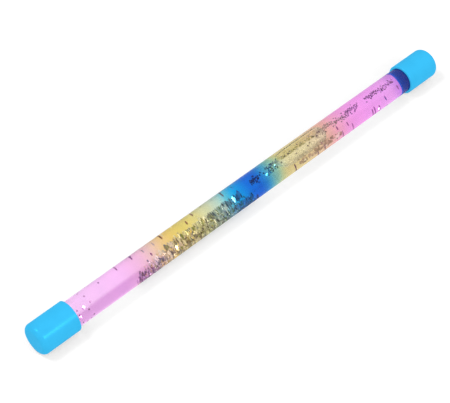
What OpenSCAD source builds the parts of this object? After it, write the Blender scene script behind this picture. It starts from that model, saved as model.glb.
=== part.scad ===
// Liquid glitter wand: a clear tinted tube with two push-on end caps, sealed by a stopper
// at each end and filled with clear liquid, loose glitter and one long air bubble.
// It lies along X on the floor plane z = 0, the left cap towards -X, its origin under its
// middle. Everything is built round the tube's axis and then lifted to lie on its caps.

/* [Wand] */
// Overall length over both caps (mm)
wand_length = 316; // [310:1:330]
// Outside diameter of the clear tube (mm)
tube_od = 16; // [15.8:0.1:16.6]
// Wall thickness of the clear tube (mm)
tube_wall = 1.2; // [1:0.05:1.3]

/* [Caps] */
// Outside diameter of the end caps (mm)
cap_od = 19; // [18.6:0.1:20]
// Length of an end cap, closed face to mouth (mm)
cap_length = 25; // [22:0.5:28]
// Thickness of a cap's closed end (mm)
cap_end = 2.6; // [2:0.1:3.5]
// Rounding of a cap's closed end (mm)
cap_round = 3; // [1.5:0.1:3.5]
// Rounding of a cap's mouth (mm)
mouth_round = 0.5; // [0.3:0.05:0.6]
// Film of glue between cap and tube (mm)
glue_gap = 0.05; // [0.03:0.01:0.1]

/* [Stoppers] */
// Length of stopper inside the tube (mm)
plug_length = 10; // [8:0.5:11]
// Thickness of the flange that stops on the tube's end (mm)
flange = 1.2; // [1:0.1:1.5]
// Diameter of the stopper's blind core, open to the cap (mm)
plug_core = 8.4; // [7:0.1:9]
// Thickness of the stopper's closed face, next to the liquid (mm)
plug_face = 1.8; // [1.4:0.1:2.4]

/* [Air bubble] */
// Left end of the long bubble from the wand's middle (mm)
bubble_start = 22.5; // [22:0.5:24]
// Length of the long bubble (mm)
bubble_length = 40; // [36:0.5:42]
// Rounding radius of the bubble's lower half and ends (mm)
bubble_round = 4.2; // [3.8:0.1:4.3]
// Height of the bubble's widest line over the tube's axis (mm)
bubble_lift = 2.6; // [2.5:0.1:2.8]

/* [Glitter] */
// Corner radius of a settled flake (mm)
settled_r = 1.2; // [0.9:0.05:1.2]
// Corner radius of a fine flake (mm)
fine_r = 0.5; // [0.4:0.05:0.5]
// Corner radius of a flake that floats or clings (mm)
float_r = 0.55; // [0.45:0.05:0.55]
// Thickness of the foil that all flakes are cut from (mm)
foil = 0.12; // [0.1:0.01:0.14]
// Liquid kept clear all round each flake and the bubble (mm)
wetting = 0.1; // [0.08:0.01:0.12]

/* [Hidden] */
$fn = 96;

tube_r = tube_od / 2;
bore_r = tube_r - tube_wall;
cap_r = cap_od / 2;
bore_fit = 0.02;             // cement film between the bore and what fills it
seat_gap = 0.2;              // glue between a stopper's flange and its cap
tube_end = wand_length / 2 - cap_end - seat_gap - flange;
plug_end = tube_end - plug_length;
plug_slack = 0.15;           // room between the stopper's body and the bore
plug_lead = 0.7;             // rounding that leads the stopper into the bore
plug_rib = 0.6;              // radius of a sealing rib
plug_ribs = [3.5, 7];        // places of the two ribs, from the closed face
flange_inset = 0.4;          // flange short of the tube's outside
overlap = 0.1;               // lap between squares that make one section

// Lanes: each moving group keeps to its own part of the bore's cross-section, so that
// none meets another wherever it slides. A lane is a radius from the tube's axis.
wall_lane = bore_r - 0.35;   // flakes that lie flat against the bore
bubble_top = bore_r - 0.8;   // the bubble's flattened top
settled_lane = [bore_r - 2.05, bore_r - 1.75];
side_lane = [bore_r - 1.5, bore_r - 1.15];
middle_lane = [2.42, 2.5];   // fine flakes between the bubble and the settled ones

// A flake is [x, angle, radius, tilt, lean, turn]. Its angle goes round the tube from
// straight up, and is positive towards -Y. It tilts across the tube, leans along it, and
// is turned in its own plane. Each flake has its own stretch of x in its row.
function chance(n, low, high, seed) = rands(low, high, n, seed);

function row(x0, x1, n, angles, radii, tilts, leans, seed) =
    let (a = chance(n, angles[0], angles[1], seed),
         r = chance(n, radii[0], radii[1], seed + 1),
         t = chance(n, tilts[0], tilts[1], seed + 2),
         l = chance(n, leans[0], leans[1], seed + 3),
         s = chance(n, 0, 60, seed + 4))
    [for (i = [0:n - 1])
        [x0 + (x1 - x0) * i / (n - 1), a[i], r[i], t[i], l[i], s[i]]];

any_way = [-80, 80];
near_flat = [-3, 3];
on_edge = [48, 84];
steady = [-12, 12];

// The settled flakes lean on each other like slats, in three files along the bottom. The
// far file is the top of the heap, and is shorter.
settled_flakes = concat(
    row(-90, 2, 66, [146, 154], settled_lane, steady, on_edge, 11),
    row(-86, 0, 60, [176, 184], settled_lane, steady, on_edge, 21),
    row(-64, -6, 44, [206, 214], settled_lane, steady, on_edge, 131));

fine_flakes = concat(
    row(-91, 8, 33, [101, 123], side_lane, any_way, any_way, 31),
    row(-84, 0, 12, [237, 259], side_lane, any_way, any_way, 41),
    row(-86, 6, 24, [160, 200], middle_lane, [-8, 8], [-8, 8], 51));

float_lane = [wall_lane, wall_lane + 0.01];
floating_flakes = concat(
    row(2, 10.5, 7, [-6, 26], float_lane, near_flat, near_flat, 61),
    row(15, 55, 18, [-10, 34], float_lane, near_flat, near_flat, 71),
    row(57.5, 92, 27, [-9, 31], float_lane, near_flat, near_flat, 81),
    row(98, 123, 20, [-4, 24], float_lane, near_flat, near_flat, 91));

// A few small bubbles crowd the long one's left end: [x, angle, radius]. They touch the
// same flattened top as it does.
small_ones = [[13.2, 33, 1], [16.4, 20, 1.8], [20.2, 23, 1.45], [18.6, -5, 1]];

// These ride on the bubble's skin, so their angle and radius go from its widest line.
skin_lane = [bubble_round + wetting + foil / 2, bubble_round + wetting + foil / 2 + 0.02];
bubble_flakes = concat(
    row(27, 59, 30, [62, 126], skin_lane, near_flat, near_flat, 101),
    row(28, 58, 16, [-118, -64], skin_lane, near_flat, near_flat, 111));

// Stuck to the bore: a few by the left cap, some along the back wall over the settled
// heap, and a thin scatter along the bottom to the right of the bubble.
stuck_places = [
    [-131, 33], [-131, 57], [-131, 71], [-130, 106], [-127.5, 41], [-127, 118],
    [-124.7, 59], [-123.5, -44], [-124.3, 116], [-122.5, -3], [-122, 34], [-122.5, 101],
    [-111, -19], [-95, -122], [-84, -122], [-73, -140], [-62, -124], [-50, -118],
    [-44, -130], [-38, -122], [-26, -118], [-15, -126], [-6, -140],
    [36, 195], [43, 187], [55, 195], [61, 193], [70, 188], [75, 208], [77, 194],
    [83, 203], [86, 195], [104, 195], [106, 197], [110, 194], [117, 202], [129, 205]];
stuck_turns = chance(len(stuck_places), 0, 60, 121);
stuck_flakes = [for (i = [0:len(stuck_places) - 1])
    [stuck_places[i][0], stuck_places[i][1], wall_lane, 0, 0, stuck_turns[i]]];

// ---------------------------------------------------------------- shared shapes
// Lift from the tube's axis to the floor that the caps lie on.
module lying() {
    translate([0, 0, cap_r])
        children();
}

// Turn a profile drawn as (radius, distance along the wand) round the tube's axis.
module turned() {
    rotate([0, 90, 0])
        rotate_extrude()
            children();
}

// A bar along X from x0 to x1.
module bar(r, x0, x1) {
    translate([x0, 0, 0])
        rotate([0, 90, 0])
            cylinder(r = r, h = x1 - x0);
}

// Hexagonal flakes cut from foil, grown all round by the margin.
module flakes(list, r, margin = 0) {
    for (f = list)
        rotate([f[1], 0, 0])
            translate([f[0], 0, f[2]])
                rotate([f[3], f[4], 0])
                    rotate([0, 0, f[5]])
                        cylinder(r = r + margin, h = foil + 2 * margin, center = true, $fn = 6);
}

// The bubble's shape: round-ended and round below, its top flattened under the bore.
module bubble_shape(margin = 0) {
    r = bubble_round + margin;
    x0 = bubble_start + bubble_round;
    x1 = bubble_start + bubble_length - bubble_round;
    intersection() {
        translate([0, 0, bubble_lift])
            union() {
                bar(r, x0, x1);
                translate([x0, 0, 0])
                    sphere(r = r);
                translate([x1, 0, 0])
                    sphere(r = r);
            }
        bar(bubble_top + margin, x0 - 2 * r, x1 + 2 * r);
    }
}

// The small bubbles beside the long one's left end, grown by the margin.
module small_shapes(margin = 0) {
    for (b = small_ones)
        rotate([b[1], 0, 0])
            translate([b[0], 0, bubble_top - b[2]])
                sphere(r = b[2] + margin);
}

// ---------------------------------------------------------------- tube and ends
module tube() {
    color([0.93, 0.72, 0.9, 0.35])
        lying()
            difference() {
                bar(tube_r, -tube_end, tube_end);
                bar(bore_r, -tube_end - 1, tube_end + 1);
            }
}

// A cap's wall in section, its closed face at zero: radius across, length up.
module cap_profile() {
    inner = tube_r + glue_gap;
    difference() {
        union() {
            square([cap_r - cap_round, cap_length]);
            translate([0, cap_round])
                square([cap_r, cap_length - cap_round - mouth_round]);
            translate([0, cap_length - mouth_round - overlap])
                square([cap_r - mouth_round, mouth_round + overlap]);
            translate([cap_r - cap_round, cap_round])
                circle(r = cap_round);
            translate([cap_r - mouth_round, cap_length - mouth_round])
                circle(r = mouth_round);
        }
        translate([0, cap_end])
            square([inner, cap_length]);
    }
}

module cap() {
    translate([-wand_length / 2, 0, 0])
        turned()
            cap_profile();
}

module left_cap() {
    color([0.24, 0.75, 0.98])
        lying()
            cap();
}

module right_cap() {
    color([0.24, 0.75, 0.98])
        lying()
            rotate([0, 0, 180])
                cap();
}

// A stopper in section, its inner face at zero: a hollow body with two sealing ribs and
// a lead-in, and a flange that stops on the tube's end.
module plug_profile() {
    body = bore_r - plug_slack;
    difference() {
        union() {
            square([body - plug_lead, plug_length]);
            translate([0, plug_lead])
                square([body, plug_length - plug_lead]);
            translate([body - plug_lead, plug_lead])
                circle(r = plug_lead);
            for (y = plug_ribs)
                translate([bore_r - bore_fit - plug_rib, y])
                    circle(r = plug_rib);
            translate([0, plug_length])
                square([tube_r - flange_inset, flange]);
        }
        translate([0, plug_face])
            square([plug_core / 2, plug_length + flange]);
        // Nothing may stick out past the axis that the section turns about.
        translate([-tube_r, -1])
            square([tube_r, plug_length + flange + 2]);
    }
}

module plug() {
    translate([plug_end, 0, 0])
        turned()
            plug_profile();
}

module left_plug() {
    color([0.92, 0.94, 0.95])
        lying()
            rotate([0, 0, 180])
                plug();
}

module right_plug() {
    color([0.92, 0.94, 0.95])
        lying()
            plug();
}

// ---------------------------------------------------------------- contents
// The liquid fills the bore between the stoppers, round the bubble and every flake.
module liquid() {
    color([0.85, 0.95, 1, 0.25])
        lying()
            difference() {
                bar(bore_r - bore_fit, bore_fit - plug_end, plug_end - bore_fit);
                bubble_shape(wetting);
                small_shapes(wetting);
                translate([0, 0, bubble_lift])
                    flakes(bubble_flakes, fine_r, wetting);
                flakes(floating_flakes, float_r, wetting);
                flakes(settled_flakes, settled_r, wetting);
                flakes(fine_flakes, fine_r, wetting);
                flakes(stuck_flakes, float_r, wetting);
            }
}

module air_bubble() {
    color([1, 1, 1, 0.3])
        lying()
            bubble_shape();
}

module small_bubbles() {
    color([1, 1, 1, 0.3])
        lying()
            small_shapes();
}

module bubble_glitter() {
    color([0.8, 0.84, 0.8])
        lying()
            translate([0, 0, bubble_lift])
                flakes(bubble_flakes, fine_r);
}

module floating_glitter() {
    color([0.74, 0.7, 0.76])
        lying()
            flakes(floating_flakes, float_r);
}

module settled_glitter() {
    color([0.86, 0.86, 0.82])
        lying()
            flakes(settled_flakes, settled_r);
}

module fine_glitter() {
    color([0.8, 0.82, 0.76])
        lying()
            flakes(fine_flakes, fine_r);
}

module clinging_glitter() {
    color([0.7, 0.62, 0.74])
        lying()
            flakes(stuck_flakes, float_r);
}

tube();
left_cap();
right_cap();
left_plug();
right_plug();
liquid();
air_bubble();
small_bubbles();
bubble_glitter();
floating_glitter();
settled_glitter();
fine_glitter();
clinging_glitter();
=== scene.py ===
# %% [markdown]
# # A liquid glitter wand
# A clear acrylic tube, dyed in soft bands of pink, yellow and blue, is filled with a clear
# liquid, loose foil glitter and one long air bubble. A blue moulded cap closes each end.
# Its sizes and joints were settled in CAD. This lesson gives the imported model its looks:
# the frame is loaded first and stays as it is, and each piece made here rides on one of
# its bodies, so that it moves as the real one does.

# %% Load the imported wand
import math
import random

import bmesh
import bpy
from mathutils import Matrix, Vector
from mathutils.bvhtree import BVHTree


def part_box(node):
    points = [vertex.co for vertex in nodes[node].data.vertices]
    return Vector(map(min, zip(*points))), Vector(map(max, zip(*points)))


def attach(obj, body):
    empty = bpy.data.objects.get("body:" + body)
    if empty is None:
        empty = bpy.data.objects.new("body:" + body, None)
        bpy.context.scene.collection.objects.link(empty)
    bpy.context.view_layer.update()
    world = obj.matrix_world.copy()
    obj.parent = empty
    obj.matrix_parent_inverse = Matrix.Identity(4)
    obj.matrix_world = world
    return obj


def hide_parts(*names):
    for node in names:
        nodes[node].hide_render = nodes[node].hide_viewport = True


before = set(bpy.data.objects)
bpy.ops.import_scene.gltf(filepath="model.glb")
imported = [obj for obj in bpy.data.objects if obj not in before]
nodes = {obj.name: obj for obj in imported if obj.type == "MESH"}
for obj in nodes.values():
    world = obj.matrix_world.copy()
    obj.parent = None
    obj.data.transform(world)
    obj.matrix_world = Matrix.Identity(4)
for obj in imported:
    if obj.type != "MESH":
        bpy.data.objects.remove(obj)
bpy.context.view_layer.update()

# %% [markdown]
# ## Sizes come from the frame
# Blender works in metres and the wand lies along X, on its caps. The boxes of the packed
# solids give every radius and length that is needed, so nothing is typed in twice. Only
# the few sizes that a box can't show, such as the thickness of a cap's closed end, are
# named here in millimetres.

# %% Measures of the wand
MM = 0.001
tube_low, tube_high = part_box("tube")
cap_low, cap_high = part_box("left_cap")
liquid_low, liquid_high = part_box("liquid")
bubble_low, bubble_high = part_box("air_bubble")

axis_z = (tube_low.z + tube_high.z) / 2
tube_r = (tube_high.z - tube_low.z) / 2
tube_end = tube_high.x
cap_r = (cap_high.z - cap_low.z) / 2
cap_length = cap_high.x - cap_low.x
wand_end = -cap_low.x
mouth_x = wand_end - cap_length
fill_r = (liquid_high.z - liquid_low.z) / 2
fill_end = liquid_high.x
bore_r = fill_r + 0.02 * MM
cap_end = 2.6 * MM
cap_round = 3.0 * MM
mouth_round = 0.5 * MM
foil = 0.12 * MM
print(f"tube r {tube_r / MM:.2f}, bore r {bore_r / MM:.2f}, cap r {cap_r / MM:.2f} mm")

# %% [markdown]
# ## The camera and the image points
# The photograph was taken from the wand's near left, looking well down, with a long lens.
# The points are pixels in its 450 by 403 frame, at the brightest specks of glitter. The
# camera's place and aim were set from the four corners where each cap meets the tube,
# and it needs no shift.

# %% The photograph's frame and points
IMAGE_W, IMAGE_H = 450, 403
LONG_SIDE = max(IMAGE_W, IMAGE_H)
SPECKS = {
    "left_rim_speck": (83.7, 307.0),
    "left_rim_low_speck": (80.8, 317.0),
    "pile_speck": (177.0, 248.0),
    "pile_top_speck": (233.8, 199.4),
    "right_low_speck": (379.0, 108.7),
    "small_bubble_flash": (266.5, 174.4),
    "bubble_end_flash": (275.0, 165.5),
}

# %% The camera
LENS = 110.7
SENSOR = 36.0
camera_place = Vector((-0.3864, -0.3823, 0.5963))
camera_aim = Vector((-0.01672, 0.00192, 0.00971))

camera_data = bpy.data.cameras.new("camera")
camera_data.lens = LENS
camera_data.sensor_width = SENSOR
camera_data.sensor_fit = "AUTO"
camera_data.clip_start = 0.01
camera = bpy.data.objects.new("camera", camera_data)
camera.location = camera_place
camera.rotation_euler = (camera_aim - camera_place).to_track_quat("-Z", "Y").to_euler()
bpy.context.scene.collection.objects.link(camera)
bpy.context.scene.camera = camera
bpy.context.view_layer.update()
camera_axes = camera.matrix_world.to_3x3()
print("camera stands", round((camera_aim - camera_place).length, 3), "m from its aim")

# %% [markdown]
# ## From a place to a pixel, and back
# `shows_at` says where a place in the scene shows in the photograph's frame. `seen_from`
# goes the other way: it sends a ray through a pixel and says where that meets a shape. A
# ray that just misses takes the place on the shape that it passes closest to.


# %% Pixels and places
def shows_at(place):
    """The pixel at which a place in the scene shows."""
    seen = camera_axes.transposed() @ (Vector(place) - camera_place)
    focal = LONG_SIDE * LENS / SENSOR
    x = IMAGE_W / 2 + focal * seen.x / -seen.z - camera_data.shift_x * LONG_SIDE
    y = IMAGE_H / 2 - focal * seen.y / -seen.z + camera_data.shift_y * LONG_SIDE
    return x, y


def seen_from(pixel, tree):
    """Where the ray through a pixel meets a shape, and which way the shape faces there."""
    x, y = pixel
    ray = Vector((
        x - IMAGE_W / 2 + camera_data.shift_x * LONG_SIDE,
        IMAGE_H / 2 - y + camera_data.shift_y * LONG_SIDE,
        -LONG_SIDE * LENS / SENSOR,
    ))
    way = (camera_axes @ ray).normalized()
    place, facing, _, _ = tree.ray_cast(camera_place, way)
    if place is None:
        reach = (camera_aim - camera_place).length
        tries = [camera_place + way * reach * (0.5 + i / 200) for i in range(200)]
        found = [tree.find_nearest(spot) for spot in tries]
        place, facing, _, _ = min(found, key=lambda hit: hit[3])
    return place, facing


print("the origin shows at", [round(v, 1) for v in shows_at((0, 0, axis_z))])

# %% [markdown]
# ## Helpers for materials
# Colours are written as the sRGB hex values that a picker shows, and one function turns
# them to the linear numbers that shaders work in. A second small function adds a node
# with its settings and links in one line, so that a material reads as a short recipe.


# %% Colours and nodes
def colour(code):
    """An sRGB hex value as linear red, green, blue and alpha."""
    parts = [int(code[i:i + 2], 16) / 255 for i in (1, 3, 5)]
    return (*[c / 12.92 if c <= 0.04045 else ((c + 0.055) / 1.055) ** 2.4 for c in parts], 1)


def add(tree, kind, inputs=None, **settings):
    """Adds a node, sets it up, and links or fills its inputs."""
    node = tree.nodes.new(kind)
    for name, value in settings.items():
        setattr(node, name, value)
    for socket, value in (inputs or {}).items():
        if isinstance(value, bpy.types.NodeSocket):
            tree.links.new(value, node.inputs[socket])
        else:
            node.inputs[socket].default_value = value
    return node


def bands(tree, factor, stops, interpolation="EASE"):
    """A colour ramp with a hex colour at each stop."""
    ramp = add(tree, "ShaderNodeValToRGB", {"Fac": factor})
    ramp.color_ramp.interpolation = interpolation
    while len(ramp.color_ramp.elements) < len(stops):
        ramp.color_ramp.elements.new(1.0)
    for element, (place, code) in zip(ramp.color_ramp.elements, stops):
        element.position = place
        element.color = colour(code)
    return ramp.outputs["Color"]


def blank(name):
    """A new material with an empty node tree."""
    material = bpy.data.materials.new(name)
    material.use_nodes = True
    material.node_tree.nodes.clear()
    return material, material.node_tree


def show(tree, shader):
    """Sends a shader to the material's output."""
    add(tree, "ShaderNodeOutputMaterial", {"Surface": shader})


# %% [markdown]
# ## Dyed acrylic
# The tube is extruded acrylic, a clear hard plastic that bends light about as glass does,
# IOR 1.49. Its dye runs from pink through peach and yellow to a deep blue by the middle,
# and back to pink. Light passes the dye twice, on its way in and out, and Blender's
# Principled shader tints by the square root of its colour at each surface, so the colour
# written here is the colour that is seen through the whole tube over white.
#
# The colour depends on the distance along X. Slow noise shifts that distance by a few
# millimetres, because the bands were sprayed and have no straight edge. Low on the front
# side a deeper band of painted shade darkens the dye, strongest at the left end, so a
# second mask follows the angle round the tube. Real light falls through the tube onto the
# floor.
# Following it by chance would take thousands of samples, so rays from lamps and from the
# floor pass straight through a plain see-through shader, dimmed once where they enter.
#
# Plain acrylic mirrors the white room at its rim, and so turns pale there. The
# photograph's tube keeps its colour almost to the edge. So a share of the outer face only
# bends light and mirrors nothing. That share was fitted by measure to the
# photograph; it is not a property of acrylic. Its colour takes the square root first, as
# the Principled shader does, so that both shares tint alike.


# %% The dye and the tube's outer face
ACRYLIC_IOR = 1.49
BAND_DRIFT = 5 * MM
# The band of painted shade: its angle round the tube, its soft edge, and its fade along it.
SHADE_BAND_ANGLE = math.radians(73)
SHADE_BAND_EDGE = (0.80, 0.96)
SHADE_BAND_FADE = (-100 * MM, -60 * MM)
SHADE_BAND_LEAST = 0.25
UNMIRRORED = 0.6
DYE_FROM, DYE_TO = -140 * MM, 140 * MM
DYE = [
    (-133, "#FDCCFC"), (-97, "#FFC4FB"), (-88, "#FFC0F0"), (-80, "#FDC4E0"),
    (-73, "#F9CDCA"), (-68, "#F9D2A8"), (-63, "#FBD47A"), (-52, "#F8DE76"),
    (-45, "#F4E082"), (-33, "#ECE6A8"), (-29, "#E6EBC8"), (-24, "#D4E4CC"),
    (-18, "#A0DCDC"), (-14, "#40C6F0"), (-8, "#00A0EC"), (-3, "#0080E4"),
    (3, "#005ADA"), (9, "#0C70D4"), (13, "#2C90D0"), (18, "#6CBCC0"),
    (22, "#AAC89C"), (27, "#E2D28E"), (45, "#E8D294"), (60, "#E8BEA0"),
    (66, "#F4B6A8"), (71, "#F7AEC2"), (76, "#F9A6DA"), (82, "#FDA3EC"),
    (98, "#FDA3F6"), (125, "#FAACFC"), (130, "#D084F4"), (133, "#B868F0"),
]


def along_wand(tree, distance, stops):
    """A colour ramp along the wand, with its stops in millimetres."""
    share = add(tree, "ShaderNodeMapRange", {"Value": distance, "From Min": DYE_FROM,
                                             "From Max": DYE_TO})
    places = [((x * MM - DYE_FROM) / (DYE_TO - DYE_FROM), code) for x, code in stops]
    return bands(tree, share.outputs[0], places, "LINEAR")


def reach(tree, place, way):
    """How far a place lies from the wand's axis along a given direction."""
    from_axis = add(tree, "ShaderNodeVectorMath", {0: place, 1: (0, 0, -axis_z)},
                    operation="ADD")
    across = add(tree, "ShaderNodeVectorMath", {0: from_axis.outputs[0], 1: way},
                 operation="DOT_PRODUCT")
    return across.outputs["Value"]


def lamps_pass(tree, glass, tint=None):
    """Glass for what is seen, and plain see-through for light on its way in.

    A tint counts once for each ray, where it enters, and not where it leaves."""
    path = add(tree, "ShaderNodeLightPath").outputs
    skips = add(tree, "ShaderNodeMath", {0: path["Is Shadow Ray"], 1: path["Is Diffuse Ray"]},
                operation="MAXIMUM")
    clear = add(tree, "ShaderNodeBsdfTransparent")
    if tint:
        leaves = add(tree, "ShaderNodeNewGeometry").outputs["Backfacing"]
        enters = add(tree, "ShaderNodeMath", {0: path["Is Shadow Ray"], 1: leaves},
                     operation="SUBTRACT", use_clamp=True).outputs[0]
        dimmed = add(tree, "ShaderNodeMix", {"Factor": enters, "A": (1, 1, 1, 1),
                                             "B": tint}, data_type="RGBA").outputs["Result"]
        tree.links.new(dimmed, clear.inputs["Color"])
    return add(tree, "ShaderNodeMixShader",
               {0: skips.outputs[0], 1: glass.outputs[0], 2: clear.outputs[0]}).outputs[0]


def painted_shade_share(tree, place, along):
    """1 where shade is painted into the dye: low on the front side, strongest towards the left
    end.
    """
    low_front = (0, -math.sin(SHADE_BAND_ANGLE) / tube_r, math.cos(SHADE_BAND_ANGLE) / tube_r)
    band = add(tree, "ShaderNodeMapRange", {
        "Value": reach(tree, place, low_front), "From Min": SHADE_BAND_EDGE[0],
        "From Max": SHADE_BAND_EDGE[1]}, interpolation_type="SMOOTHSTEP")
    fade = add(tree, "ShaderNodeMapRange", {
        "Value": along, "From Min": SHADE_BAND_FADE[0], "From Max": SHADE_BAND_FADE[1],
        "To Min": 1.0, "To Max": SHADE_BAND_LEAST})
    return add(tree, "ShaderNodeMath", {0: band.outputs[0], 1: fade.outputs[0]},
               operation="MULTIPLY").outputs[0]


def dyed_acrylic():
    material, tree = blank("dyed_extruded_acrylic")
    place = add(tree, "ShaderNodeTexCoord").outputs["Object"]
    along = add(tree, "ShaderNodeSeparateXYZ", {"Vector": place}).outputs["X"]
    drift = add(tree, "ShaderNodeTexNoise", {"Vector": place, "Scale": 1 / (14 * MM),
                                             "Detail": 1.0}).outputs["Fac"]
    drift_m = add(tree, "ShaderNodeMapRange", {"Value": drift, "From Min": 0.0, "From Max": 1.0,
                                               "To Min": -BAND_DRIFT, "To Max": BAND_DRIFT})
    shifted = add(tree, "ShaderNodeMath", {0: along, 1: drift_m.outputs[0]}, operation="ADD")
    tint = along_wand(tree, shifted.outputs[0], DYE)
    # The band of painted shade is multiplied into the dye.
    dye_and_painted_shade = add(tree, "ShaderNodeMix", {"Factor": painted_shade_share(tree, place, along), "A": tint,
                                         "B": colour("#D1ACD1")},
                 data_type="RGBA", blend_type="MULTIPLY").outputs["Result"]
    glass = add(tree, "ShaderNodeBsdfPrincipled", {
        "Base Color": dye_and_painted_shade, "Transmission Weight": 1.0, "IOR": ACRYLIC_IOR,
        "Roughness": 0.02})
    one_way = add(tree, "ShaderNodeGamma", {"Color": dye_and_painted_shade, "Gamma": 0.5})
    unmirrored = add(tree, "ShaderNodeBsdfRefraction", {
        "Color": one_way.outputs[0], "IOR": ACRYLIC_IOR, "Roughness": 0.02})
    face = add(tree, "ShaderNodeMixShader", {0: UNMIRRORED, 1: glass.outputs[0],
                                             2: unmirrored.outputs[0]})
    depth = add(tree, "ShaderNodeRGBToBW", {"Color": tint})
    shade = add(tree, "ShaderNodeMapRange", {"Value": depth.outputs[0],
                                             "To Min": 0.1, "To Max": 0.3})
    show(tree, lamps_pass(tree, face, shade.outputs[0]))
    return material


def wetted_bore():
    """Where acrylic meets liquid, light bends by the ratio of the two: 1.49 over 1.40."""
    material, tree = blank("wetted_acrylic_bore")
    place = add(tree, "ShaderNodeTexCoord").outputs["Object"]
    haze = add(tree, "ShaderNodeTexNoise", {"Vector": place, "Scale": 1 / (6 * MM)})
    tint = bands(tree, haze.outputs["Fac"], [(0.3, "#FFFFFF"), (0.8, "#FAFBFC")])
    glass = add(tree, "ShaderNodeBsdfPrincipled", {
        "Base Color": tint, "Transmission Weight": 1.0, "IOR": 1.064, "Roughness": 0.0})
    show(tree, lamps_pass(tree, glass))
    return material


acrylic = dyed_acrylic()
bore = wetted_bore()
print("dye stops:", len(DYE))

# %% [markdown]
# ## Helpers for turned pieces
# Nearly everything here is round, so a half outline is drawn as a few corners, distance
# along the wand and radius, and spun about the X axis. A full spin needs `use_merge` to
# join its ends, and the many vertices that fall together at a pole are merged. Rims are
# then rounded with the bevel operator, which picks out the ring of edges at one corner.

# %% Spin, round and finish
SPIN_STEPS = 128


def spun(outline, closed=False):
    """A bmesh turned from corners (x, radius) about the X axis."""
    bm = bmesh.new()
    corners = [bm.verts.new((x, 0, radius)) for x, radius in outline]
    for first, second in zip(corners, corners[1:]):
        bm.edges.new((first, second))
    if closed:
        bm.edges.new((corners[-1], corners[0]))
    bmesh.ops.spin(bm, geom=bm.verts[:] + bm.edges[:], cent=(0, 0, 0), axis=(1, 0, 0),
                   dvec=(0, 0, 0), angle=2 * math.pi, steps=SPIN_STEPS, use_merge=True)
    bmesh.ops.remove_doubles(bm, verts=bm.verts[:], dist=0.001 * MM)
    bmesh.ops.recalc_face_normals(bm, faces=bm.faces[:])
    return bm


def round_rim(bm, x, radius, width, segments):
    """Rounds the ring of edges at distance x and the given radius."""
    def on_rim(vert):
        return (abs(vert.co.x - x) < 0.001 * MM
                and abs(math.hypot(vert.co.y, vert.co.z) - radius) < 0.001 * MM)

    rim = [edge for edge in bm.edges if on_rim(edge.verts[0]) and on_rim(edge.verts[1])]
    bmesh.ops.bevel(bm, geom=rim, offset=width, segments=segments, profile=0.5,
                    affect="EDGES", material=-1)


def finish(bm, name, materials, body, sharp=35):
    """Lifts a piece from the wand's axis to its place, and hands it to its body."""
    bmesh.ops.translate(bm, verts=bm.verts[:], vec=(0, 0, axis_z))
    mesh = bpy.data.meshes.new(name)
    bm.to_mesh(mesh)
    bm.free()
    mesh.polygons.foreach_set("use_smooth", [True] * len(mesh.polygons))
    mesh.set_sharp_from_angle(angle=math.radians(sharp))
    for material in materials:
        mesh.materials.append(material)
    piece = bpy.data.objects.new(name, mesh)
    bpy.context.scene.collection.objects.link(piece)
    even = piece.modifiers.new("even_shading", "WEIGHTED_NORMAL")
    even.keep_sharp = True
    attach(piece, body)
    print(f"{name}: {len(mesh.polygons)} faces on {body}")
    return piece


# %% [markdown]
# ## The tube
# The tube's wall is one closed shell: the outer face carries the dye, and the bore is
# where acrylic meets liquid. Each gets its own material, told apart by a face's distance
# from the axis. The ends are slightly eased, as sawn and flame-polished ends are.

# %% Turn the tube
tube_outline = [(-tube_end, bore_r), (-tube_end, tube_r),
                (tube_end, tube_r), (tube_end, bore_r)]
bm = spun(tube_outline, closed=True)
for x in (-tube_end, tube_end):
    round_rim(bm, x, tube_r, 0.2 * MM, 3)
for face in bm.faces:
    middle = face.calc_center_median()
    face.material_index = int(math.hypot(middle.y, middle.z) < bore_r + 0.1 * MM)
tube_wall = finish(bm, "tube_wall", [acrylic, bore], "wand")
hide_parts("tube")

# %% [markdown]
# ## The caps
# Each cap is one moulding of polypropylene, a waxy satin plastic: a round cup whose
# closed end is well rounded and whose mouth is slightly eased. An injection mould leaves
# a very fine orange-peel skin, which breaks up the highlight. The real skin is a few
# hundredths of a millimetre, too fine for this view, so it is drawn at about 1 mm. The
# highlight in the photo is blue, not white, as a pearl pigment's is, so the gloss is made
# with a little metallic, which mirrors in the base colour, and no clear skin. The floor
# sees a plain grey cap, which keeps its shadow as neutral as a white studio's many
# bounces keep the real one.


# %% Moulded polypropylene
def moulded_polypropylene():
    material, tree = blank("moulded_blue_polypropylene")
    place = add(tree, "ShaderNodeTexCoord").outputs["Object"]
    cloud = add(tree, "ShaderNodeTexNoise", {"Vector": place, "Scale": 1 / (9 * MM),
                                             "Detail": 2.0})
    tint = bands(tree, cloud.outputs["Fac"], [(0.3, "#3ABCF2"), (0.7, "#3CC0F6")])
    skin = add(tree, "ShaderNodeTexNoise", {"Vector": place, "Scale": 1 / (1 * MM),
                                            "Detail": 3.0})
    rough = add(tree, "ShaderNodeMapRange", {"Value": skin.outputs["Fac"],
                                             "To Min": 0.2, "To Max": 0.28})
    dimple = add(tree, "ShaderNodeBump", {"Height": skin.outputs["Fac"], "Strength": 0.15,
                                          "Distance": 0.05 * MM})
    plastic = add(tree, "ShaderNodeBsdfPrincipled", {
        "Base Color": tint, "Metallic": 0.09, "Roughness": rough.outputs[0],
        "Specular IOR Level": 0.0, "Normal": dimple.outputs["Normal"]})
    bounced = add(tree, "ShaderNodeLightPath").outputs["Is Diffuse Ray"]
    plain = add(tree, "ShaderNodeBsdfDiffuse", {"Color": colour("#E4E4E4")})
    either = add(tree, "ShaderNodeMixShader", {0: bounced, 1: plastic.outputs[0],
                                               2: plain.outputs[0]})
    show(tree, either.outputs[0])
    return material


cap_plastic = moulded_polypropylene()


# %% Turn the caps
END_DOME = 0.15 * MM
GLUE_GAP = 0.05 * MM


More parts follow.
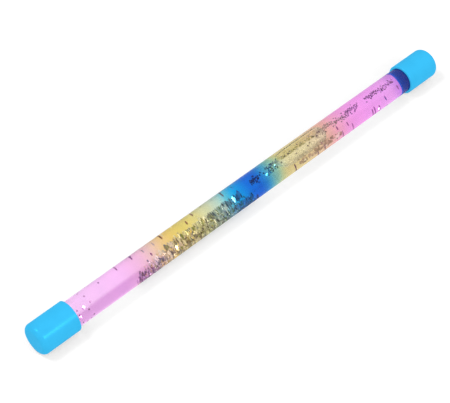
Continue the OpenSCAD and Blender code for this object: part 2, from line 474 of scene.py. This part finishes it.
def cap_shell(side):
    """A cap as a spun cup. Side is -1 for the left end and 1 for the right."""
    inner_r = tube_r + GLUE_GAP
    outline = [(wand_end, 0), (wand_end - END_DOME, cap_r), (mouth_x, cap_r),
               (mouth_x, inner_r), (wand_end - cap_end, inner_r), (wand_end - cap_end, 0)]
    bm = spun([(side * x, radius) for x, radius in outline])
    round_rim(bm, side * (wand_end - END_DOME), cap_r, cap_round, 12)
    round_rim(bm, side * mouth_x, cap_r, mouth_round, 5)
    return bm


left_cap_shell = finish(cap_shell(-1), "left_cap_shell", [cap_plastic], "wand")
right_cap_shell = finish(cap_shell(1), "right_cap_shell", [cap_plastic], "wand")
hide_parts("left_cap")
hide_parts("right_cap")

# %% [markdown]
# ## The stoppers
# The stoppers are hidden in the caps, and their CAD solids are already the right shape.
# They are milky uncoloured polyethylene, which lets a little light into its skin.


# %% Natural polyethylene
def natural_polyethylene():
    material, tree = blank("natural_polyethylene")
    place = add(tree, "ShaderNodeTexCoord").outputs["Object"]
    cloud = add(tree, "ShaderNodeTexNoise", {"Vector": place, "Scale": 1 / (3 * MM)})
    tint = bands(tree, cloud.outputs["Fac"], [(0.3, "#E6EAEC"), (0.7, "#F1F3F3")])
    rough = add(tree, "ShaderNodeMapRange", {"Value": cloud.outputs["Fac"],
                                             "To Min": 0.4, "To Max": 0.5})
    plastic = add(tree, "ShaderNodeBsdfPrincipled", {
        "Base Color": tint, "Roughness": rough.outputs[0], "IOR": 1.51,
        "Subsurface Weight": 0.2, "Subsurface Scale": 1 * MM})
    show(tree, plastic.outputs[0])
    return material


stopper_plastic = natural_polyethylene()
for name in ("left_plug", "right_plug"):
    for held in nodes[name].material_slots:
        held.material = stopper_plastic
print("stoppers keep their CAD solids")

# %% [markdown]
# ## The liquid and its bubble
# The liquid is a thin clear mix that fills the bore. The bend from acrylic to liquid is
# already made at the tube's bore, so the liquid's own skin must not bend light again: its
# IOR is 1. The bubble is air inside liquid. Light meets it from the denser side, so its
# IOR is below 1, which is 1 over 1.40, and its skin mirrors light at a slant as a real
# bubble's does. Only the Glass shader takes such a value. Lamps shine through both. The
# finest glitter, too small to model chip by chip, lies on the long bubble as a pale veil
# over its lower front and its right end, so there a matt shader is mixed into the skin.
# The veil is partly painted light too: its matt white fills in where the skin would
# mirror dark.


# %% Clear liquid and trapped air
LIQUID_IOR = 1.40
AIR_IN_LIQUID_IOR = 0.714
VEIL_COVER = 0.6
VEIL_TURN = math.radians(33)
VEIL_FRONT = (-3.2 * MM, -1.6 * MM)
VEIL_TAIL = (56.5 * MM, 59 * MM)


def clear_liquid():
    material, tree = blank("clear_glycerin_water")
    place = add(tree, "ShaderNodeTexCoord").outputs["Object"]
    haze = add(tree, "ShaderNodeTexNoise", {"Vector": place, "Scale": 1 / (10 * MM)})
    tint = bands(tree, haze.outputs["Fac"], [(0.3, "#FFFFFF"), (0.8, "#F8FBFC")])
    glass = add(tree, "ShaderNodeBsdfPrincipled", {
        "Base Color": tint, "Transmission Weight": 1.0, "IOR": 1.0, "Roughness": 0.0})
    show(tree, glass.outputs[0])
    return material


def trapped_air(name, veil):
    """Air in liquid. A veil of dust and painted light covers a share of its lower front and
    right end.
    """
    material, tree = blank(name)
    place = add(tree, "ShaderNodeTexCoord").outputs["Object"]
    film = add(tree, "ShaderNodeTexNoise", {"Vector": place, "Scale": 1 / (2 * MM)})
    tint = bands(tree, film.outputs["Fac"], [(0.3, "#FFFFFF"), (0.7, "#F2F0E8")])
    skin = add(tree, "ShaderNodeBsdfGlass", {"Color": tint, "IOR": AIR_IN_LIQUID_IOR,
                                           "Roughness": 0.0})
    if veil == 0:
        show(tree, skin.outputs[0])
        return material
    # The matt white is dust, and partly painted light where the skin would mirror dark.
    dust = add(tree, "ShaderNodeBsdfDiffuse", {"Color": colour("#F4F0E4")})
    down_front = (0, -math.cos(VEIL_TURN), -math.sin(VEIL_TURN))
    along = add(tree, "ShaderNodeSeparateXYZ", {"Vector": place}).outputs["X"]
    masks = [add(tree, "ShaderNodeMapRange", {"Value": value, "From Min": start,
                                              "From Max": full, "To Max": veil},
                 interpolation_type="SMOOTHSTEP").outputs[0]
             for value, (start, full) in ((reach(tree, place, down_front), VEIL_FRONT),
                                          (along, VEIL_TAIL))]
    either = add(tree, "ShaderNodeMath", {0: masks[0], 1: masks[1]}, operation="MAXIMUM")
    dust_and_painted_light = add(tree, "ShaderNodeMixShader", {0: either.outputs[0], 1: skin.outputs[0],
                                               2: dust.outputs[0]})
    show(tree, dust_and_painted_light.outputs[0])
    return material


liquid_look = clear_liquid()
air_look = trapped_air("dust_and_painted_light_air", VEIL_COVER)
clean_air = trapped_air("clean_trapped_air", 0)


def lit_through(piece):
    """Lets light on its way in pass a clear piece, as it does at the tube."""
    piece.visible_shadow = False
    piece.visible_diffuse = False


# %% Pour the liquid
bm = spun([(-fill_end, 0), (-fill_end, fill_r), (fill_end, fill_r), (fill_end, 0)])
liquid_fill = finish(bm, "liquid_fill", [liquid_look], "wand")
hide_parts("liquid")
lit_through(liquid_fill)

# %% [markdown]
# The bubble starts as a sphere with its poles along the wand. Its two halves are pulled
# apart, its left end is drawn out to a soft point, and its top is pressed flat against
# the bore, as a rising bubble's is.

# %% Blow the bubble
bubble_r = bubble_high.y
bubble_lift = bubble_low.z + bubble_r - axis_z
bubble_top = bubble_high.z - axis_z
bubble_mid = (bubble_low.x + bubble_high.x) / 2
straight = (bubble_high.x - bubble_low.x) / 2 - bubble_r
TAPER = 13 * MM


def bubble_shape():
    bm = bmesh.new()
    bmesh.ops.create_uvsphere(bm, u_segments=64, v_segments=64, radius=bubble_r,
                              matrix=Matrix.Rotation(math.pi / 2, 4, "Y"))
    middle = [edge for edge in bm.edges if all(abs(v.co.x) < 0.01 * MM for v in edge.verts)]
    across = [edge for edge in bm.edges if edge not in middle]
    left = [vert for vert in bm.verts if vert.co.x < -0.01 * MM]
    right = [vert for vert in bm.verts if vert.co.x > 0.01 * MM]
    bmesh.ops.translate(bm, verts=left, vec=(-straight, 0, 0))
    bmesh.ops.translate(bm, verts=right, vec=(straight, 0, 0))
    long_edges = [edge for edge in across if edge.calc_length() > 4 * MM]
    bmesh.ops.subdivide_edges(bm, edges=long_edges, cuts=16, use_grid_fill=True)
    bmesh.ops.translate(bm, verts=bm.verts[:], vec=(bubble_mid, 0, bubble_lift))
    for vert in bm.verts:
        left_share = min((vert.co.x - bubble_low.x) / TAPER, 1)
        slim = 0.72 + 0.28 * math.sin(left_share * math.pi / 2)
        vert.co.y *= slim
        vert.co.z = bubble_top + (vert.co.z - bubble_top) * slim
        reach = math.hypot(vert.co.y, vert.co.z)
        if reach > bubble_top:
            vert.co.y *= bubble_top / reach
            vert.co.z *= bubble_top / reach
    bmesh.ops.smooth_vert(bm, verts=bm.verts[:], factor=0.5, use_axis_x=True,
                          use_axis_y=True, use_axis_z=True)
    bmesh.ops.recalc_face_normals(bm, faces=bm.faces[:])
    return bm


bm = bubble_shape()
bubble_skin_tree = BVHTree.FromBMesh(bm)
bubble_skin = finish(bm, "bubble_skin", [air_look], "bubble", sharp=80)
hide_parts("air_bubble")
lit_through(bubble_skin)

# %% [markdown]
# A few small bubbles crowd the long one's left end, as froth does. Each is an icosphere,
# pressed a little flat where it touches the top of the bore.

# %% Blow the small bubbles
SMALL_ONES = [(13.2, 33, 1.0), (16.4, 20, 1.8), (20.2, 23, 1.45), (18.6, -5, 1.0)]
bm = bmesh.new()
for x, angle, radius in SMALL_ONES:
    turned = Matrix.Rotation(math.radians(angle), 4, "X")
    lifted = Matrix.Translation((x * MM, 0, bubble_top - radius * MM))
    pressed = Matrix.Diagonal((1, 1, 0.97, 1))
    bmesh.ops.create_icosphere(bm, subdivisions=4, radius=radius * MM,
                               matrix=turned @ lifted @ pressed)
small_bubble_skins = finish(bm, "small_bubble_skins", [clean_air], "bubble", sharp=80)
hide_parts("small_bubbles")
lit_through(small_bubble_skins)

# %% [markdown]
# ## Foil glitter
# The flakes are cut from aluminised polyester, a mirror bright film with a faint tint.
# Each flake tips its own way and so mirrors its own part of the room: some flash white
# and most look grey or dark. A studio scene is all white around, so a full mirror would
# lose that. The foil is therefore only a third metallic, and the rest is painted
# reflection: a cell pattern about as coarse as a flake gives each one a plain tone of its
# own, white for a flash and grey or dark for the rest. The heap's tones are also painted
# lighter, against the shade deep inside it. A second ramp paints the reflection of the
# dyed wall beside the foil, so the tone changes slowly along the wand. The heap goes from
# pink by the left end, past plain, to blue. The floating trail is navy over the blue band
# and a little magenta at its right end, and the flakes that cling to the wall are straw
# over the yellow band. The ramps were fitted at rest, and those of the heap and the trail
# move with them.


# %% Foil
def foil_flakes(name, tones, cell, roughness, metallic=0.35, drift=None):
    """Foil toned flake by flake, with a drift ramp that paints the dyed wall's reflection along
    X.
    """
    material, tree = blank(name)
    place = add(tree, "ShaderNodeTexCoord").outputs["Object"]
    cells = add(tree, "ShaderNodeTexVoronoi", {"Vector": place, "Scale": 1 / cell},
                feature="F1")
    pick = add(tree, "ShaderNodeSeparateColor", {"Color": cells.outputs["Color"]})
    tint = bands(tree, pick.outputs[0], tones, "CONSTANT")
    if drift:
        along = add(tree, "ShaderNodeSeparateXYZ", {"Vector": place}).outputs["X"]
        # The dyed wall's painted reflection, changing slowly along the wand.
        painted_reflection = along_wand(tree, along, drift)
        tint = add(tree, "ShaderNodeMix", {"Factor": 1.0, "A": tint, "B": painted_reflection},
                   data_type="RGBA", blend_type="MULTIPLY").outputs["Result"]
    mirror = add(tree, "ShaderNodeBsdfPrincipled", {
        "Base Color": tint, "Metallic": metallic, "Roughness": roughness})
    show(tree, mirror.outputs[0])
    return material


# Painted reflection for each flake; the heap's tones are painted lighter against its inner
# shade.
SILVER_TONES = [(0.0, "#A69EA6"), (0.1, "#FFFFFF"), (0.22, "#CFC6D2"), (0.34, "#FFFFFF"),
                (0.46, "#8E98BC"), (0.54, "#F2E2AC"), (0.64, "#A0968A"), (0.74, "#F6F0FF"),
                (0.86, "#AEB680"), (0.93, "#FFFFFF")]
# Painted reflection of the dyed wall along the heap.
HEAP_PAINTED_REFLECTION = [(-92, "#ECC8F4"), (-84, "#F4E4FC"), (-74, "#FFFFFF"), (-46, "#FFFFFF"),
              (-37, "#E0E4CC"), (-22, "#BCD2D4"), (-10, "#78B0DC"), (4, "#64A0D8")]
VIOLET_TONES = [(0.0, "#A66FA8"), (0.24, "#B88CB4"), (0.45, "#7C4C84"), (0.62, "#A08C96"),
                (0.8, "#D2B8D2"), (0.94, "#5650A0")]
TRAIL_TONES = [(0.0, "#6E5A76"), (0.25, "#B9AEB4"), (0.45, "#8E8A80"), (0.62, "#DCD6D6"),
               (0.78, "#54465E"), (0.92, "#FFFFFF")]
OLIVE_TONES = [(0.0, "#8E8E6C"), (0.35, "#A9A884"), (0.6, "#6E7460"), (0.8, "#C2BE9C")]
PALE_TONES = [(0.0, "#E8E6DC"), (0.4, "#FBFAF4"), (0.7, "#D4D0C4"), (0.85, "#FFFFFF")]
MAUVE_TONES = [(0.0, "#BCA8A0"), (0.3, "#D8C8C0"), (0.55, "#B0A094"), (0.8, "#FFFFFF"),
               (0.88, "#B094A8")]
# Painted reflections of the dyed wall along the trail and the clinging flakes.
TRAIL_PAINTED_REFLECTION = [(-8, "#FFFFFF"), (-2, "#40588C"), (10, "#40588C"), (16, "#B0C8D8"),
               (22, "#FFFFFF"), (72, "#FFFFFF"), (84, "#F0CCFF")]
CLING_PAINTED_REFLECTION = [(-90, "#FFFFFF"), (-76, "#FFFFFF"), (-66, "#DCC48C"), (-20, "#D4CC9C"),
               (-8, "#FFFFFF")]
silver_foil = foil_flakes("silver_polyester_foil", SILVER_TONES, 1.4 * MM, 0.35,
                          drift=HEAP_PAINTED_REFLECTION)
violet_foil = foil_flakes("violet_polyester_foil", VIOLET_TONES, 1.6 * MM, 0.35,
                          drift=CLING_PAINTED_REFLECTION)
trail_foil = foil_flakes("grey_polyester_foil", TRAIL_TONES, 0.5 * MM, 0.35,
                         drift=TRAIL_PAINTED_REFLECTION)
olive_foil = foil_flakes("olive_polyester_foil", OLIVE_TONES, 0.5 * MM, 0.35)
pale_foil = foil_flakes("pale_polyester_foil", PALE_TONES, 0.5 * MM, 0.35)
mauve_foil = foil_flakes("mauve_polyester_foil", MAUVE_TONES, 1.5 * MM, 0.35)
LOOKS = {"settled_glitter": silver_foil, "fine_glitter": silver_foil,
         "bubble_glitter": pale_foil, "floating_glitter": trail_foil,
         "clinging_glitter": violet_foil}
for name, look in LOOKS.items():
    for held in nodes[name].material_slots:
        held.material = look
print("CAD flakes dressed:", ", ".join(LOOKS))

# %% [markdown]
# ## The dust between the flakes
# The CAD holds a few hundred flakes. A real wand holds thousands, down to specks of a
# third of a millimetre. Those are made here in the same lanes as the CAD flakes, each a
# six-sided chip of eight faces, so that thousands of them stay light. Chance places them
# by a fixed seed, and each group rides with the flakes that it lies among. The heap also
# has flakes that stand up along its far edge, and brighter ones on and above its slope,
# whose pale tones are painted glints, and a scatter of larger flakes sticks to the low
# front wall under the bubble.


# %% Chips
def chip(bm, place, radius):
    bmesh.ops.create_cone(bm, cap_ends=True, segments=6, radius1=radius, radius2=radius,
                          depth=foil, matrix=place)


def in_lane(x, angle, radius, tips=(0, 0, 0)):
    """A place in the tube. The angle is in degrees from straight up, towards -Y."""
    place = Matrix.Rotation(math.radians(angle), 4, "X") @ Matrix.Translation((x, 0, radius))
    for axis, tip in zip("XYZ", tips):
        place = place @ Matrix.Rotation(math.radians(tip), 4, axis)
    return place


# The heap of settled flakes, in stretches of its length: how many chips each holds, how
# far round the far side of the bore it reaches, in degrees from straight down, and its
# foil. On the near side it reaches HEAP_NEAR degrees.
FOILS = {"silver_foil": silver_foil, "violet_foil": violet_foil}
HEAP_NEAR = 40
HEAP = [
    (-88, -74, 64, 0, "violet_foil"), (-74, -58, 200, 14, "silver_foil"),
    (-58, -46, 180, 26, "silver_foil"), (-46, -20, 400, 29, "silver_foil"),
    (-20, -8, 160, 10, "silver_foil"), (-8, 3, 50, -10, "silver_foil"),
]
# The other groups: name, body, foil, slot, and then what strewn() takes.
DUST = [
    ("standing_flakes", "settled", silver_foil, "silver_foil",
     26, (-78, -16), (202, 218), (4.7, 5.3), (0.5, 0.8), 80),
    # The bright groups' pale tones are painted glints, where foil would flash.
    ("bright_flakes", "settled", pale_foil, "silver_foil",
     60, (-78, -18), (172, 212), (4.6, 4.9), (0.5, 1.0), 35),
    ("stray_bright_flakes", "settled", pale_foil, "silver_foil",
     16, (-72, -26), (208, 224), (4.6, 4.9), (0.8, 1.05), 20),
    ("fine_dust", "fines", silver_foil, "silver_foil",
     150, (-84, 2), (102, 124), (5.35, 5.75), (0.15, 0.35), 80),
    ("bright_fines", "fines", pale_foil, "silver_foil",
     34, (-72, -14), (100, 118), (5.4, 5.7), (0.28, 0.38), 60),
    ("wall_dust", "wand", mauve_foil, "violet_foil",
     90, (35, 71), (62, 95), (6.45, 6.55), (0.5, 1.1), 5),
]


def strewn(rng, count, spans, angles, radii, sizes, tip):
    """Chips strewn evenly over a stretch of the tube, in millimetres and degrees."""
    bm = bmesh.new()
    for _ in range(count):
        x = rng.uniform(*spans) * MM
        tips = (rng.uniform(-tip, tip), rng.uniform(-tip, tip), rng.uniform(0, 60))
        place = in_lane(x, rng.uniform(*angles), rng.uniform(*radii) * MM, tips)
        chip(bm, place, rng.uniform(*sizes) * MM)
    return bm


rng = random.Random(7)
for number, (start, stop, count, side, slot) in enumerate(HEAP, 1):
    bm = strewn(rng, count, (start, stop), (180 - HEAP_NEAR, 180 + side), (4.5, 5.4),
                (0.3, 0.85), 80)
    finish(bm, f"settled_dust_{number}", [FOILS[slot]], "settled")
for name, body, look, slot, *spread in DUST:
    finish(strewn(rng, *spread), name, [look], body)

# %% [markdown]
# Along the top of the bore the smallest flakes hang in a thin wandering trail. Its line
# is a slow wave round the tube, and the chips stray a little to either side of it.


# %% The floating trail
TRAIL_LANE = 6.5 * MM


def trail(rng, start, stop, count, middle, swing, wave, stray):
    bm = bmesh.new()
    for i in range(count):
        x = start + (stop - start) * (i + rng.random()) / count
        sway = math.sin(2 * math.pi * x / wave) + 0.6 * math.sin(2 * math.pi * x / (0.37 * wave))
        angle = middle + swing * sway + rng.gauss(0, stray)
        tips = (rng.uniform(-14, 14), rng.uniform(-14, 14), rng.uniform(0, 60))
        chip(bm, in_lane(x * MM, angle, TRAIL_LANE, tips), rng.uniform(0.2, 0.5) * MM)
    return bm


# Each part: from and to in mm, how many, its middle and swing in degrees, the length of
# its wave in mm, and how far chips stray in degrees.
TRAIL_PARTS = [(-0.5, 6, 64, 12, 5, 30, 8), (13, 24, 50, 6, 4, 20, 7),
               (54, 91, 250, 11, 7, 23, 7), (98, 123, 150, 10, 6, 27, 6)]
for number, part in enumerate(TRAIL_PARTS, 1):
    finish(trail(rng, *part), f"trail_dust_{number}", [trail_foil], "floaters")

# %% [markdown]
# The bubble's skin is furred with the finest dust. A ray from the bubble's middle line
# finds a spot on the skin, and the chip lies flat there, just outside the air.


# %% Dust on the bubble
SKIN_GAP = 0.08 * MM


def skin_dust(rng, count, span, angles, sizes):
    bm = bmesh.new()
    for _ in range(count):
        start = Vector((rng.uniform(*span) * MM, 0, bubble_lift))
        angle = rng.uniform(*angles)
        way = Matrix.Rotation(math.radians(angle), 4, "X") @ Vector((0, 0, 1))
        spot, facing, _, _ = bubble_skin_tree.ray_cast(start, way)
        turn = Matrix.Rotation(rng.uniform(0, 1), 4, "Z")
        lie = facing.to_track_quat("Z", "Y").to_matrix().to_4x4()
        chip(bm, Matrix.Translation(spot + facing * SKIN_GAP) @ lie @ turn,
             rng.uniform(*sizes) * MM)
    return bm


# Each group: where on the skin, its foil, and then what skin_dust() takes.
SKIN_DUST = [
    ("upper", olive_foil, 110, (25.5, 53), (-4, 22), (0.2, 0.42)),
    ("front", pale_foil, 420, (26, 60.5), (40, 125), (0.2, 0.5)),
    ("back", pale_foil, 200, (26, 60.5), (-130, -40), (0.16, 0.3)),
]
for where, look, *spread in SKIN_DUST:
    finish(skin_dust(rng, *spread), f"bubble_dust_{where}", [look], "bubble")

# %% [markdown]
# ## Specks that catch the light
# A few flakes flash white, because they happen to mirror a lamp. A ray through each image
# point finds the tube's outer face, and runs on, bent, into the liquid. The flake goes
# where that ray reaches its lane: on the near side for those that float or cling, and on
# the far side for those in the heap. It is tipped half way between the lamp's direction
# and the camera's.

# %% Bend, halve and place
SPARK_LAMP = Vector((0.10, -0.88, 0.73))
# For each body, the points whose flakes ride on it, their lane's radius, their own radius
# and whether they lie on the near side (-1) or the far side (1).
FLASHES = {
    "wand": (("left_rim_speck", "left_rim_low_speck", "right_low_speck"), 6.35, 0.75, -1),
    "settled": (("pile_speck", "pile_top_speck"), 4.5, 1.0, 1),
    "floaters": (("small_bubble_flash", "bubble_end_flash"), 6.35, 0.7, -1),
}
bright_foil = foil_flakes("bright_polyester_foil", [(0.0, "#FFFFFF"), (0.5, "#FBFAF6")],
                          1.2 * MM, 0.14, metallic=1.0)


def bent(way, facing):
    """A direction as it runs on from air into the liquid, through a surface."""
    ratio = 1 / LIQUID_IOR
    cos_in = -way.dot(facing)
    cos_out = math.sqrt(1 - ratio ** 2 * (1 - cos_in ** 2))
    return ratio * way + (ratio * cos_in - cos_out) * facing


def flashing(pixel, radius, side):
    """Where the ray through a pixel meets a lane, tipped so that the lamp shows there."""
    spot, facing = seen_from(pixel, tube_tree)
    way = bent((spot - camera_place).normalized(), facing)
    start = spot - Vector((0, 0, axis_z))
    square = way.y ** 2 + way.z ** 2
    half = (start.y * way.y + start.z * way.z) / square
    root = math.sqrt(half ** 2 - (start.y ** 2 + start.z ** 2 - radius ** 2) / square)
    inside = start + way * (side * root - half)
    from_lamp = (inside + Vector((0, 0, axis_z)) - SPARK_LAMP).normalized()
    tip = (-way - from_lamp).to_track_quat("Z", "Y").to_matrix().to_4x4()
    return Matrix.Translation(inside) @ tip


placer = bmesh.new()
placer.from_mesh(tube_wall.data)
tube_tree = BVHTree.FromBMesh(placer)
placer.free()
speck_places = {}
for body, (names, lane, size, side) in FLASHES.items():
    bm = bmesh.new()
    for name in names:
        place = flashing(SPECKS[name], lane * MM, side)
        chip(bm, place, size * MM)
        speck_places[name] = place.translation + Vector((0, 0, axis_z))
        print(name, "at mm", [round(v / MM, 1) for v in place.translation])
    finish(bm, f"bright_specks_on_{body}", [bright_foil], body)

# %% [markdown]
# ## Floor, light and white surroundings
# The floor is a wide matt white sheet. It is lit a little short of full white, and what
# it lacks is added for rays that end in the picture, so that it shows as clean white and
# still keeps the wand's shadow. The world does the same: it lights the wand softly, and
# shows as white to the camera, in gloss and through glass.
#
# One soft light stands high, behind and to the left, and throws the pale shadow to the
# right and front. A weak one in front draws the bright streak along the left cap, and
# ends where it would show on the tube. A third, hardly larger than a bulb, makes glints.


# %% The floor
FLOOR_LIFT = 0.16


def seen_rays(tree):
    """1 for rays that end in the picture: straight, mirrored or seen through glass."""
    path = add(tree, "ShaderNodeLightPath").outputs
    first = add(tree, "ShaderNodeMath", {0: path["Is Camera Ray"], 1: path["Is Glossy Ray"]},
                operation="MAXIMUM")
    both = add(tree, "ShaderNodeMath", {0: first.outputs[0], 1: path["Is Transmission Ray"]},
               operation="MAXIMUM")
    return both.outputs[0]


def matt_white():
    material, tree = blank("matt_white_floor")
    paper = add(tree, "ShaderNodeBsdfDiffuse", {"Color": colour("#F3F3F3")})
    lift = add(tree, "ShaderNodeMath", {0: seen_rays(tree), 1: FLOOR_LIFT},
               operation="MULTIPLY")
    glow = add(tree, "ShaderNodeEmission", {"Strength": lift.outputs[0]})
    total = add(tree, "ShaderNodeAddShader", {0: paper.outputs[0], 1: glow.outputs[0]})
    show(tree, total.outputs[0])
    return material


bm = bmesh.new()
bmesh.ops.create_grid(bm, x_segments=4, y_segments=4, size=4.0)
floor_mesh = bpy.data.meshes.new("floor")
bm.to_mesh(floor_mesh)
bm.free()
floor_mesh.materials.append(matt_white())
floor = bpy.data.objects.new("floor", floor_mesh)
bpy.context.scene.collection.objects.link(floor)

# %% The world and the lamps
WORLD_LEVEL = 0.72
world = bpy.data.worlds.new("studio")
bpy.context.scene.world = world
world.use_nodes = True
world.node_tree.nodes.clear()
soft = add(world.node_tree, "ShaderNodeBackground", {"Strength": WORLD_LEVEL})
white = add(world.node_tree, "ShaderNodeBackground", {"Strength": 1.0})
for background in (soft, white):
    background.inputs["Color"].default_value = (1, 1, 1, 1)
either = add(world.node_tree, "ShaderNodeMixShader",
             {0: seen_rays(world.node_tree), 1: soft.outputs[0], 2: white.outputs[0]})
add(world.node_tree, "ShaderNodeOutputWorld", {"Surface": either.outputs[0]})


def panel(name, place, aim, width, height, watts):
    """A rectangular softbox that faces its aim, its width level."""
    lamp = bpy.data.lights.new(name, "AREA")
    lamp.shape = "RECTANGLE"
    lamp.size = width
    lamp.size_y = height
    lamp.energy = watts
    light = bpy.data.objects.new(name, lamp)
    light.location = place
    light.rotation_euler = (Vector(aim) - Vector(place)).to_track_quat("-Z", "Y").to_euler()
    bpy.context.scene.collection.objects.link(light)
    return light


panel("soft_light", (-0.5, 0.42, 1.25), (0, 0, 0), 0.42, 0.42, 5.0)
panel("front_light", (0.11, -0.873, 0.734), (-0.1455, 0, 0), 0.32, 0.42, 1.5)
panel("spark_light", SPARK_LAMP, (0, 0, 0), 0.04, 0.04, 1.2)

# %% View settings
bpy.context.scene.view_settings.view_transform = "Standard"

# %% [markdown]
# ## Where the specks show
# For each speck point, this works out the pixel at which its flake shows.


for name, pixel in SPECKS.items():
    x, y = shows_at(speck_places[name])
